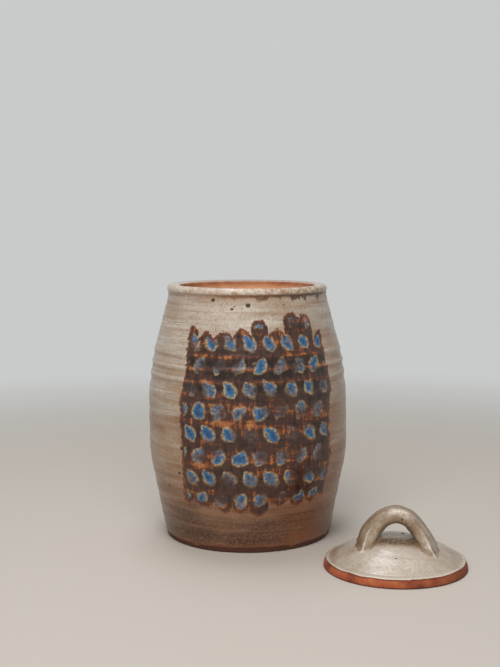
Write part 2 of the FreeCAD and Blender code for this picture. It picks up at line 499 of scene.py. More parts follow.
    def ground(self, finish: Finish, rings: Socket, gaps: Socket) -> Socket:
        """Colour the brushed iron: dark where it lies thick, rust and ochre where it is thin.

        Args:
            finish: the material that it goes into.
            rings: how far the throwing rings stand out.
            gaps: where two strokes leave a gap.

        Returns:
            The colour.
        """
        add = finish.nodes.add
        flat = add("Mapping", Vector=finish.place, Scale=(1, 1, 5))
        bands = add("TexNoise", Vector=flat, Scale=grain(34), Detail=5, Roughness=0.66)
        tall = add("Mapping", Vector=finish.place, Scale=(1, 1, 0.22))
        hairs = add("TexNoise", Vector=tall, Scale=grain(3.4), Detail=5, Roughness=0.75)
        thin = add("Math ADD", bands, hairs)
        thin = add("Math MULTIPLY_ADD", rings, 0.16, thin)
        thin = add("Math MULTIPLY_ADD", gaps, 0.22, thin)
        thin = add("Math MULTIPLY", thin, 0.5)
        return add(
            "ValToRGB", thin,
            stops=[
                (0.37, self.dark), (0.45, self.iron), (0.5, self.mauve), (0.53, self.iron),
                (0.58, self.rust), (0.67, self.ochre),
            ],
        )

    def leaves(self, finish: Finish, across: Socket) -> Socket:
        """Measure how far a point is from the middle of its leaf.

        Args:
            finish: the material that they go into.
            across: the distance round the jar from the panel's middle.

        Returns:
            0 in the middle of a leaf, 1 on its edge, and more outside.
        """
        add = finish.nodes.add
        shake = add("TexNoise", Vector=finish.place, Scale=grain(9), Detail=2)
        shake = add("MapRange", shake, 0, 1, -self.leaf_shake, self.leaf_shake)
        height = add("Math ADD", finish.z, shake)
        shaken = add("Math SUBTRACT", across, shake)
        rows = add("Math DIVIDE", height, self.row)
        row = add("Math FLOOR", rows)
        odd = add("Math MODULO", row, 2)
        rise = add("Math SUBTRACT", rows, row)
        rise = add("Math MULTIPLY_ADD", rise, self.row, -0.5 * self.row)
        shift = add("Math MULTIPLY_ADD", odd, 0.5 * self.column, shaken)
        columns = add("Math DIVIDE", shift, self.column)
        column = add("Math ROUND", columns)
        along = add("Math SUBTRACT", columns, column)
        along = add("Math MULTIPLY", along, self.column)
        lean = math.radians(self.leaf_slant)
        sign = add("Math MULTIPLY_ADD", odd, -2, 1)
        sine = add("Math MULTIPLY", sign, math.sin(lean))
        tall = add("Math MULTIPLY", rise, math.cos(lean))
        tall = add("Math MULTIPLY_ADD", along, sine, tall)
        slope = add("Math MULTIPLY", rise, sine)
        wide = add("Math MULTIPLY", along, math.cos(lean))
        wide = add("Math SUBTRACT", wide, slope)
        wide = add("Math ABSOLUTE", wide)
        wide = add("Math DIVIDE", wide, self.leaf_width)
        tall = add("Math DIVIDE", tall, self.leaf_length)
        tall = add("Math MULTIPLY", tall, tall)
        return add("Math ADD", wide, tall)


@dataclass(frozen=True)
class AshGlaze:
    """Wood-ash glaze over iron-bearing stoneware, dipped and fired to a satin gloss.

    The eye sees a grey-beige skin, browner down the jar and where the throwing lines broke through
    it, with iron specks, a cream lip with a rusty edge, and bare toasted clay inside and below.
    Some of the darkening by the foot, just inside the lip and in the ring hollows is painted shade,
    and the ring ridges carry a painted highlight.
    """

    pale: str = "#b8ada0"
    grey: str = "#a89b8c"
    beige: str = "#987f68"
    brown: str = "#7e5b42"
    umber: str = "#472a1a"
    freckle: str = "#7c6453"
    speck: str = "#30221b"
    rust: str = "#7c4828"
    burnt: str = "#432a1c"
    cream: str = "#bdb0a1"
    flush: str = "#9c7d69"
    straw: str = "#8a6a45"
    toast_dark: str = "#7c4329"
    toast: str = "#a8704c"
    toast_pale: str = "#c69876"
    foot: str = "#48291e"
    bare_rough: float = 0.55
    relief_mm: float = 0.35
    glaze_in: float = 0.0060
    lip_ragged: float = 0.0030
    lip_line: float = 0.0073

    def build(self, panel: BrushedPanel) -> Material:
        """Make the material.

        Args:
            panel: the brushed decoration on the front.

        Returns:
            The material.
        """
        finish = Finish("ash_glazed_stoneware")
        add = finish.nodes.add
        rings = finish.mark("rings")
        run = finish.mark("past_lip")
        glaze, lines = self.skin(finish, rings)
        painted, iron = panel.paint(finish, glaze, rings)
        lipped, lip = self.lip(finish, painted, run)
        clay, bare = self.clay(finish, run)
        colour = add("MixRGB", bare, lipped, clay)
        peel = add("TexNoise", Vector=finish.place, Scale=grain(2.4), Detail=3)
        gloss = add("MapRange", peel, 0.3, 0.7, 0.2, 0.36)
        shiny = add("Math MAXIMUM", iron, lip)
        gloss = add("Math MULTIPLY_ADD", shiny, -0.1, gloss)
        rough = add("Math MULTIPLY_ADD", bare, self.bare_rough, gloss, use_clamp=True)
        height = add("Math MULTIPLY_ADD", lines, -0.6, peel)
        height = add("Math MULTIPLY_ADD", iron, 0.4, height)
        return finish.coat(colour, rough, height, self.relief_mm)

    def skin(self, finish: Finish, rings: Socket) -> tuple[Socket, Socket]:
        """Colour the plain glaze: clouds, throwing lines, freckles and iron specks.

        Args:
            finish: the material that it goes into.
            rings: how far the throwing rings stand out.

        Returns:
            The colour, and the strength of the throwing lines.
        """
        add = finish.nodes.add
        clouds = add("TexNoise", Vector=finish.place, Scale=grain(36), Detail=4, Roughness=0.62)
        wide = add("Mapping", Vector=finish.place, Scale=(1, 1, 13), Location=(0, 0, 0.152))
        bands = add("TexNoise", Vector=wide, Scale=grain(95), Detail=4, Roughness=0.62)
        # Warmth: the glaze is browner to the right, lower down, and in clouds and bands.
        # By the foot it darkens further: partly browner glaze, partly painted shade where the wall turns
        # in.
        side = add("MapRange", finish.x, -0.07, 0.08, -0.35, -0.27)
        low = add("MapRange", finish.z, 0.135, 0, 0, 0.62)
        foot = add("MapRange", finish.z, 0.036, 0.004, 0, 0.42)
        warm = add("Math ADD", side, low)
        warm = add("Math ADD", warm, foot)
        warm = add("Math MULTIPLY_ADD", clouds, 0.7, warm)
        warm = add("Math MULTIPLY_ADD", bands, 1.3, warm)
        warm = add("Math SUBTRACT", warm, 0.1)
        # Painted light: ring ridges are paler as a painted highlight, ring hollows browner as painted
        # shade.
        warm = add("Math MULTIPLY_ADD", rings, -0.1, warm)
        warm = add("MapRange", warm, 0.4, 1.4, 0, 1)
        base = add(
            "ValToRGB", warm,
            stops=[
                (0.0, self.pale), (0.16, self.grey), (0.38, self.beige), (0.62, self.brown),
                (1.0, self.umber),
            ],
        )
        east = add("MapRange", finish.x, 0.01, 0.08, 0, 1.4)
        ember = add("Math MULTIPLY", east, low)
        base = add("MixRGB", ember, base, self.rust)
        flat = add("Mapping", Vector=finish.place, Scale=(1, 1, 55))
        lines = add("TexNoise", Vector=flat, Scale=grain(70), Detail=4, Roughness=0.7)
        lines = add("MapRange", lines, 0.5, 0.72, 0, 0.65)
        lined = add("MixRGB", lines, base, self.brown)
        fine = add("TexNoise", Vector=finish.place, Scale=grain(1.7), Detail=3, Roughness=0.75)
        freckles = add("MapRange", fine, 0.48, 0.68, 0, 0.65)
        freckled = add("MixRGB", freckles, lined, self.freckle)
        specks = finish.specks(6.0, 0.70, 0.13)
        speckled = add("MixRGB", specks, freckled, self.speck)
        stain = finish.mark("stain")
        stained = add("MixRGB", stain, speckled, self.rust)
        return stained, lines

    def lip(self, finish: Finish, colour: Socket, run: Socket) -> tuple[Socket, Socket]:
        """Colour the rolled lip: cream where the glaze lies thick, rust where it broke.

        Args:
            finish: the material that it goes into.
            colour: the colour of the rest of the glaze.
            run: the distance past the top of the lip, negative on the outside.

        Returns:
            The colour with the lip's own, and where the lip is.
        """
        add = finish.nodes.add
        patchy = add("TexNoise", Vector=finish.place, Scale=grain(7), Detail=5, Roughness=0.75)
        shifted = add("Math MULTIPLY_ADD", patchy, self.lip_ragged, run)
        lip = add("MapRange", shifted, -0.007, -0.005, 0, 1)
        right = add("MapRange", finish.x, -0.045, 0.045, 0, 1)
        thin = add("Math MULTIPLY", lip, 0.7)
        flushed = add("MixRGB", thin, colour, self.flush)
        thick = add("MapRange", patchy, 0.38, 0.54, 0.15, 0.95)
        thick = add("Math MULTIPLY", thick, lip)
        creamy = add("MixRGB", thick, flushed, self.cream)
        spots = add("TexNoise", Vector=finish.place, Scale=grain(3.2), Detail=3, Roughness=0.7)
        spread = add("MapRange", right, 0, 1, 0, 0.1)
        spots = add("Math ADD", spots, spread)
        freckles = add("MapRange", spots, 0.56, 0.66, 0, 0.8)
        freckles = add("Math MULTIPLY", freckles, lip)
        creamy = add("MixRGB", freckles, creamy, self.straw)
        far = add("MapRange", finish.y, 0.008, 0.042, 0, 0.7)
        far = add("Math MULTIPLY", far, lip)
        creamy = add("MixRGB", far, creamy, self.flush)
        # The dark line under the lip, with runs below it on the right.
        upright = add("Mapping", Vector=finish.place, Scale=(1, 1, 0.12))
        runs = add("TexNoise", Vector=upright, Scale=grain(4.5), Detail=3)
        runs = add("MapRange", runs, 0.48, 0.75, 0, 0.006)
        runs = add("Math MULTIPLY", runs, right)
        under = add("Math ADD", shifted, self.lip_line)
        above = add("MapRange", under, 0.002, 0.0003, 0, 0.95)
        below = add("Math ADD", under, runs)
        below = add("MapRange", below, -0.0026, -0.0003, 0, 1)
        band = add("Math MULTIPLY", above, below)
        broken = add("MapRange", patchy, 0.36, 0.52, 0.65, 1)
        band = add("Math MULTIPLY", band, broken)
        fade = add("MapRange", right, 0, 0.6, 0.45, 1)
        band = add("Math MULTIPLY", band, fade)
        rusty = add("MixRGB", right, self.rust, self.burnt)
        return add("MixRGB", band, creamy, rusty), lip

    def clay(self, finish: Finish, run: Socket) -> tuple[Socket, Socket]:
        """Colour the bare clay, toasted inside with painted shade just under the lip, and dark at the
        foot.

        Args:
            finish: the material that it goes into.
            run: the distance past the top of the lip, negative on the outside.

        Returns:
            The colour, and where the clay is bare.
        """
        add = finish.nodes.add
        mottle = add("TexNoise", Vector=finish.place, Scale=grain(14), Detail=5, Roughness=0.62)
        # Painted shade: the clay is darkest just under the lip's inner edge and paler further down
        # inside.
        lip_shade_falloff = add("MapRange", run, self.glaze_in, 0.0125, 0, 0.5)
        mottle = add("Math MULTIPLY_ADD", mottle, 0.6, lip_shade_falloff)
        toasted = add(
            "ValToRGB", mottle,
            stops=[(0.25, self.toast_dark), (0.5, self.toast), (0.8, self.toast_pale)],
        )
        ragged = add("TexNoise", Vector=finish.place, Scale=grain(3), Detail=3)
        ragged = add("MapRange", ragged, 0, 1, -0.0007, 0.0007)
        edge = add("Math ADD", finish.mark("above_glaze_edge"), ragged)
        foot = add("MapRange", edge, 0.0002, -0.0002, 0, 1)
        inner = add("Math ADD", run, ragged)
        inner = add("MapRange", inner, 0.0057, 0.0065, 0, 1)
        clay = add("MixRGB", foot, toasted, self.foot)
        return clay, add("Math MAXIMUM", foot, inner)


@dataclass(frozen=True)
class LidGlaze:
    """The same ash glaze, thicker and paler on the lid, over bare toasted clay at its edge.

    The eye sees warm grey-cream with brown mottling, a pale roll where the glaze ends, and
    orange clay that darkens to a burnt line under the glaze, with painted shade towards the right
    and a painted contact shadow at its foot. Some browning and paling on the lid and the strap is
    painted shadow and painted highlight.
    """

    cream: str = "#bcb2a6"
    pale: str = "#aea294"
    mottle: str = "#97836f"
    brown: str = "#604c3b"
    satin: float = 0.20
    roll: str = "#d2c6b5"
    speck: str = "#3d2a1f"
    clay: str = "#964a2b"
    clay_pale: str = "#af6b43"
    clay_dark: str = "#5a2a1c"
    contact_shadow_clay: str = "#2b1610"
    bare_rough: float = 0.55
    relief_mm: float = 0.16
    edge_ragged: float = 0.0012

    def build(self, name: str) -> Material:
        """Make the material.

        Args:
            name: the material's name.

        Returns:
            The material.
        """
        finish = Finish(name)
        add = finish.nodes.add
        edge = finish.mark("above_glaze_edge")
        clouds = add("TexNoise", Vector=finish.place, Scale=grain(15), Detail=5, Roughness=0.66)
        # This mark carries thin glaze, and also painted shadow under the strap and painted highlights on
        # the strap.
        thin = add("Math MULTIPLY", finish.mark("thin_glaze"), 0.8)
        shade = add("Math SUBTRACT", clouds, thin)
        base = add(
            "ValToRGB", shade,
            stops=[
                (0.0, self.brown), (0.24, self.mottle), (0.42, self.pale), (0.62, self.cream),
                (1.0, self.roll),
            ],
        )
        fine = add("TexNoise", Vector=finish.place, Scale=grain(1.8), Detail=3, Roughness=0.75)
        freckles = add("MapRange", fine, 0.46, 0.62, 0, 0.7)
        freckled = add("MixRGB", freckles, base, self.mottle)
        specks = finish.specks(7.0, 0.62, 0.12)
        speckled = add("MixRGB", specks, freckled, self.speck)
        roll = add("MapRange", edge, 0.003, 0.0006, 0, 0.6)
        rolled = add("MixRGB", roll, speckled, self.roll)
        clay = add(
            "ValToRGB", clouds, stops=[(0.32, self.clay_dark), (0.48, self.clay), (0.7, self.clay_pale)]
        )
        ragged = add("TexNoise", Vector=finish.place, Scale=grain(3.5), Detail=4)
        ragged = add("MapRange", ragged, 0, 1, -self.edge_ragged, self.edge_ragged)
        line = add("Math ADD", edge, ragged)
        bare = add("MapRange", line, 0.0002, -0.0002, 0, 1)
        burnt = add("MapRange", line, -0.0017, -0.0003, 0, 0.85)
        # Painted shade: the bare edge darkens towards the right side.
        right = add("MapRange", finish.x, 0.09, 0.165, 0, 0.7)
        # Painted contact shadow: the clay darkens at the very bottom of the edge.
        contact_shadow = add("MapRange", finish.z, 0.0014, 0.0004, 0, 0.95)
        burnt = add("Math MAXIMUM", burnt, right)
        burnt_and_shaded_clay = clay
        for where, tint in ((burnt, self.clay_dark), (contact_shadow, self.contact_shadow_clay)):
            burnt_and_shaded_clay = add("MixRGB", where, burnt_and_shaded_clay, tint)
        colour = add("MixRGB", bare, rolled, burnt_and_shaded_clay)
        gloss = add("MapRange", fine, 0.3, 0.7, self.satin, self.satin + 0.14)
        rough = add("Math MULTIPLY_ADD", bare, self.bare_rough, gloss, use_clamp=True)
        return finish.coat(colour, rough, fine, self.relief_mm)


@dataclass(frozen=True)
class MoltenIron:
    """Iron pyrites from the clay that melted through the glaze into shiny dark beads."""

    dark: str = "#241914"
    sheen: str = "#5a473f"
    rough: float = 0.15
    relief_mm: float = 0.15

    def build(self) -> Material:
        """Make the material.

        Returns:
            The material.
        """
        finish = Finish("molten_iron")
        skin = finish.nodes.add("TexNoise", Vector=finish.place, Scale=grain(1.0), Detail=3)
        colour = finish.nodes.add("ValToRGB", skin, stops=[(0.35, self.dark), (0.75, self.sheen)])
        return finish.coat(colour, self.rough, skin, self.relief_mm)


@dataclass
class JarBody:
    """The thrown barrel, with its rolled lip, its gallery for the lid and its floor."""

    height: float
    belly_radius: float
    belly_height: float = 0.097
    belly_flat: float = 0.026
    belly_taper: float = 0.0005
    lower_height: float = 0.045
    lower_taper: float = 0.0051
    foot_height: float = 0.006
    foot_taper: float = 0.0126
    base_bevel: float = 0.0014
    base_inset: float = 0.0025
    shoulder_drop: float = 0.060
    shoulder_taper: float = 0.0037
    collar_drop: float = 0.035
    collar_spread: float = 0.0066
    neck_drop: float = 0.009
    neck_radius: float = 0.0655
    lip_overhang: float = 0.0008
    lip_roll: float = 0.0038
    lip_fall: float = 0.0009
    lip_dip: float = 0.0013
    lip_tilt: float = 0.0004
    mouth_round: float = 0.0015
    mouth_radius: float = 0.0559
    wall: float = 0.0065
    floor: float = 0.008
    floor_round: float = 0.012
    gallery_depth: float = 0.008
    ledge_width: float = 0.0065
    ledge_nose: float = 0.0047
    ledge_chamfer: float = 0.001
    ledge_undercut: float = 0.002
    ring_drop: float = 0.053
    ring_pitch: float = 0.0097
    ring_hollows: int = 3
    ring_depth: float = 0.00055
    collar_groove: float = 0.195
    collar_groove_depth: float = 0.00030
    glaze_edge: float = 0.0046
    glaze_coat: float = 0.00022
    spacing: float = 0.0008
    steps: int = 240
    # Each ridge or groove that a finger left: how far out, how many rings below the top one, its width.
    ring_traces: tuple[Triple, ...] = (
        (0.00030, 0.0, 0.0018),
        (0.00036, 1.0, 0.0012),
        (-0.00035, 1.35, 0.0010),
        (0.00022, 2.0, 0.0016),
    )
    # Each wave of the thrown wall: how far out, how often round the jar, how tall.
    waves: tuple[Triple, ...] = ((0.00038, 0.9, 0.008), (0.00014, 1.6, 0.0038), (0.00035, 1.1, 0.05))

    def wall_knots(self) -> list[Vector]:
        """Return the points that the outer wall passes through, from the foot to the neck."""
        belly = self.belly_radius
        return [
            place(belly - self.foot_taper, self.foot_height),
            place(belly - self.lower_taper, self.lower_height),
            place(belly - self.belly_taper, self.belly_height - self.belly_flat),
            place(belly, self.belly_height),
            place(belly - self.belly_taper, self.belly_height + self.belly_flat),
            place(belly - self.shoulder_taper, self.height - self.shoulder_drop),
            place(self.neck_radius + self.collar_spread, self.height - self.collar_drop),
            place(self.neck_radius, self.height - self.neck_drop),
        ]

    def outside(self) -> list[Vector]:
        """Draw the outline from the middle of the base up to the top of the lip.

        Returns:
            The points, closer together over the throwing rings and the groove under the collar.
        """
        foot = self.belly_radius - self.foot_taper
        base = foot - self.base_inset
        roll_radius = self.neck_radius + self.lip_overhang - self.lip_roll
        roll_height = self.height - self.lip_roll
        roll_start = -math.degrees(math.acos(1 - self.lip_overhang / self.lip_roll))
        bevel = place(base + self.base_bevel, self.base_bevel)
        rings_low = self.height - self.ring_drop - 2.2 * self.ring_pitch
        rings_high = self.height - self.ring_drop + 0.5 * self.ring_pitch
        points = straight_points(place(0, 0), place(base, 0), 0.006)
        points += straight_points(place(base, 0), bevel, 0.0006)[1:]
        points += straight_points(bevel, place(foot, self.foot_height), 0.0005)[1:]
        for count, point in enumerate(smooth_curve(self.wall_knots(), self.spacing)[1:]):
            fine = rings_low < point.z < rings_high or abs(point.z - self.collar_groove) < 0.004
            if fine or count % 2 == 1:
                points.append(point)
        points += arc_points(place(roll_radius, roll_height), self.lip_roll, roll_start, 90, 18)
        return points

    def inside(self) -> list[Vector]:
        """Draw the outline from the mouth's rounding down to the middle of the floor.

        Returns:
            The points.
        """
        top = self.height - self.lip_fall
        round_centre = place(self.mouth_radius + self.mouth_round, top - self.mouth_round)
        ledge_height = self.height - self.gallery_depth
        ledge_radius = self.mouth_radius - self.ledge_width
        nose_top = place(ledge_radius, ledge_height - self.ledge_chamfer)
        nose_foot = place(ledge_radius, ledge_height - self.ledge_nose)
        low = self.floor + self.floor_round
        inner = [point - place(self.wall, 0) for point in smooth_curve(self.wall_knots(), 0.003)]
        inner = [point for point in inner if low < point.z < self.height - self.collar_drop]
        inner.reverse()
        under_ledge = (nose_foot + inner[0]) / 2 + place(self.ledge_undercut, 0)
        floor_radius = inner[-1].x - self.floor_round
        ledge_edge = place(ledge_radius + self.ledge_chamfer, ledge_height)
        points = arc_points(round_centre, self.mouth_round, 90, 180, 8)
        points += straight_points(points[-1], place(self.mouth_radius, ledge_height), 0.001)[1:]
        points += straight_points(points[-1], ledge_edge, 0.001)[1:]
        points += [nose_top.lerp(points[-1], 0.5), nose_top]
        points += straight_points(nose_top, nose_foot, 0.001)[1:]
        points += smooth_curve([nose_foot, under_ledge, inner[0]], 0.002)[1:]
        points += inner[1:]
        points += arc_points(place(floor_radius, low), self.floor_round, 0, -90, 8)
        points += straight_points(points[-1], place(0, self.floor), 0.006)[1:]
        return points

    def edge_height(self, azimuth: float) -> float:
        """Find how high the glaze's lower edge lies, with its runs and drips.

        Args:
            azimuth: the angle about Z, in radians.

        Returns:
            The height.
        """
        x = math.cos(azimuth)
        y = math.sin(azimuth)
        wave = 0.0007 * wander(3 * x, 3 * y, 1.3) + 0.0005 * wander(9 * x, 9 * y, 4.1)
        drips = max(wander(6 * x, 6 * y, 8.7) - 0.35, 0.0)
        return self.glaze_edge + wave - 0.006 * drips

    def ring_relief(self, point: Vector) -> float:
        """Find how far the throwing rings stand out.

        Args:
            point: a point of the outer wall.

        Returns:
            The distance, negative in a hollow.
        """
        round_x = point.x / self.belly_radius
        round_y = point.y / self.belly_radius
        height = point.z + 0.0011 * wander(1.2 * round_x, 1.2 * round_y, 2.0)
        top = self.height - self.ring_drop
        turns = (top - height) / self.ring_pitch
        out = 0.0
        if 0 < turns < self.ring_hollows:
            share = turns - int(turns)
            out -= self.ring_depth * (1 - (2 * share - 1) ** 2)
        for reach, rings_down, width in self.ring_traces:
            out += reach * bell(height - top + rings_down * self.ring_pitch, width)
        return out - self.collar_groove_depth * bell(height - self.collar_groove, 0.0012)

    def relief(self, point: Vector, past_lip: float) -> float:
        """Return how far the surface stands out from the smooth outline.

        Args:
            point: a point on the smooth surface.
            past_lip: its distance past the top of the lip, negative on the outside.

        Returns:
            The distance, in metres.
        """
        azimuth = math.atan2(point.y, point.x)
        round_x = math.cos(azimuth)
        round_y = math.sin(azimuth)
        if past_lip > 0:
            depth = ease(past_lip, 0.012, 0.03)
            return 0.0004 * depth * wander(0.7 * round_x, 0.7 * round_y, point.z / 0.006)
        middle = ease(point.z, 0.008, 0.02) * (1 - ease(point.z, 0.199, 0.203))
        out = 0.0
        for reach, often, tall in self.waves:
            out += reach * wander(often * round_x, often * round_y, point.z / tall)
        edge = point.z - self.edge_height(azimuth)
        coat = self.glaze_coat * ease(edge, -0.0003, 0.0006)
        coat += self.glaze_coat * bell(edge - 0.0009, 0.0008)
        return (out + self.ring_relief(point)) * middle + coat

    def stain(self, point: Vector) -> float:
        """Find how much rust shows through the glaze near the foot.

        Args:
            point: a point of the outer wall.

        Returns:
            The amount, from 0 to 1.
        """
        azimuth = math.atan2(point.x, -point.y)
        edge = point.z - self.edge_height(math.atan2(point.y, point.x))
        patch = bell(azimuth - math.radians(38), 0.22) * bell(point.z - 0.010, 0.006)
        patch *= 0.75 + 0.6 * wander(point.x / 0.008, point.y / 0.008, point.z / 0.008)
        line = 0.55 * bell(edge - 0.0008, 0.0012)
        return min(max(0.8 * patch, line, 0.0), 1.0)

    def build(self, material: Material) -> Piece:
        """Make the jar's mesh.

        Args:
            material: its finish.

        Returns:
            The finished object.
        """
        outside = self.outside()
        points = outside + self.inside()
        runs = run_lengths(points)
        lip_top = runs[len(outside) - 1]
        mesh = spun(points, [run - lip_top for run in runs], self.steps, "past_lip")
        past_layer = mesh.verts.layers.float["past_lip"]
        edge_layer = mesh.verts.layers.float.new("above_glaze_edge")
        ring_layer = mesh.verts.layers.float.new("rings")
        stain_layer = mesh.verts.layers.float.new("stain")
        for vert in mesh.verts:
            past_lip = vert[past_layer]
            azimuth = math.atan2(vert.co.y, vert.co.x)
            round_x = math.cos(azimuth)
            round_y = math.sin(azimuth)
            vert[edge_layer] = 1.0
            if past_lip < 0:
                vert[edge_layer] = vert.co.z - self.edge_height(azimuth)
                vert[ring_layer] = self.ring_relief(vert.co) / self.ring_depth
                vert[stain_layer] = self.stain(vert.co)
            radius = math.hypot(vert.co.x, vert.co.y)
            if radius < 0.5 * self.mouth_radius or (past_lip < 0 and vert.co.z < MM):
                continue
            out = self.relief(vert.co, past_lip)
            vert.co.x += out * round_x
            vert.co.y += out * round_y
            warp = 0.00035 * wander(1.4 * round_x, 1.4 * round_y, 6.0)
            warp -= self.lip_dip * max(-round_y, 0.0) ** 2 + self.lip_tilt * round_x
            vert.co.z += warp * bell(past_lip, 0.009)
        return finished(mesh, "thrown_jar", material)

    def wall_spots(self, spots: tuple[Triple, ...]) -> list[tuple[Vector, float]]:
        """Turn azimuths, heights and widths on the wall into places and widths.

        Args:
            spots: degrees to the right of the front, and two lengths in millimetres, for each spot.

        Returns:
            A place on the wall and a width, in millimetres, for each spot.
        """
        wall = smooth_curve(self.wall_knots(), self.spacing)
        places = []
        for azimuth, height, width in spots:
            turn = math.radians(azimuth)
            gaps = [abs(point.z - height * MM) for point in wall]
            radius = wall[gaps.index(min(gaps))].x / MM
            places.append((Vector((radius * math.sin(turn), -radius * math.cos(turn), height)), width))
        return places


@dataclass
class IronBeads:
    """Dark beads that melted out of the clay, each seated in the surface that carries it.

    Each spot is a place near that surface and the bead's width, in millimetres.
    """

    name: str
    spots: list[tuple[Vector, float]]
    flatness: float = 0.36
    narrowness: float = 0.86
    segments: int = 24

    def build(self, carrier: Piece, material: Material) -> Piece:
        """Make all the beads as one mesh.

        Args:
            carrier: the piece that they are seated in.
            material: their finish.

        Returns:
            The finished object.
        """
        corners = [vert.co for vert in carrier.data.vertices]
        faces = [face.vertices for face in carrier.data.polygons]
        surface = BVHTree.FromPolygons(corners, faces)
        mesh = bmesh.new()
        for spot, width in self.spots:
            centre, facing, _, _ = surface.find_nearest(spot * MM)
            radius = width * MM / 2
            turn = Vector((0, 0, 1)).rotation_difference(facing).to_matrix().to_4x4()
            squash = Matrix.Diagonal((radius, self.narrowness * radius, radius * self.flatness, 1))
            matrix = Matrix.Translation(centre) @ turn @ squash
            bmesh.ops.create_uvsphere(
                mesh, u_segments=self.segments, v_segments=self.segments // 2, radius=1.0, matrix=matrix
            )
        return finished(mesh, self.name, material)


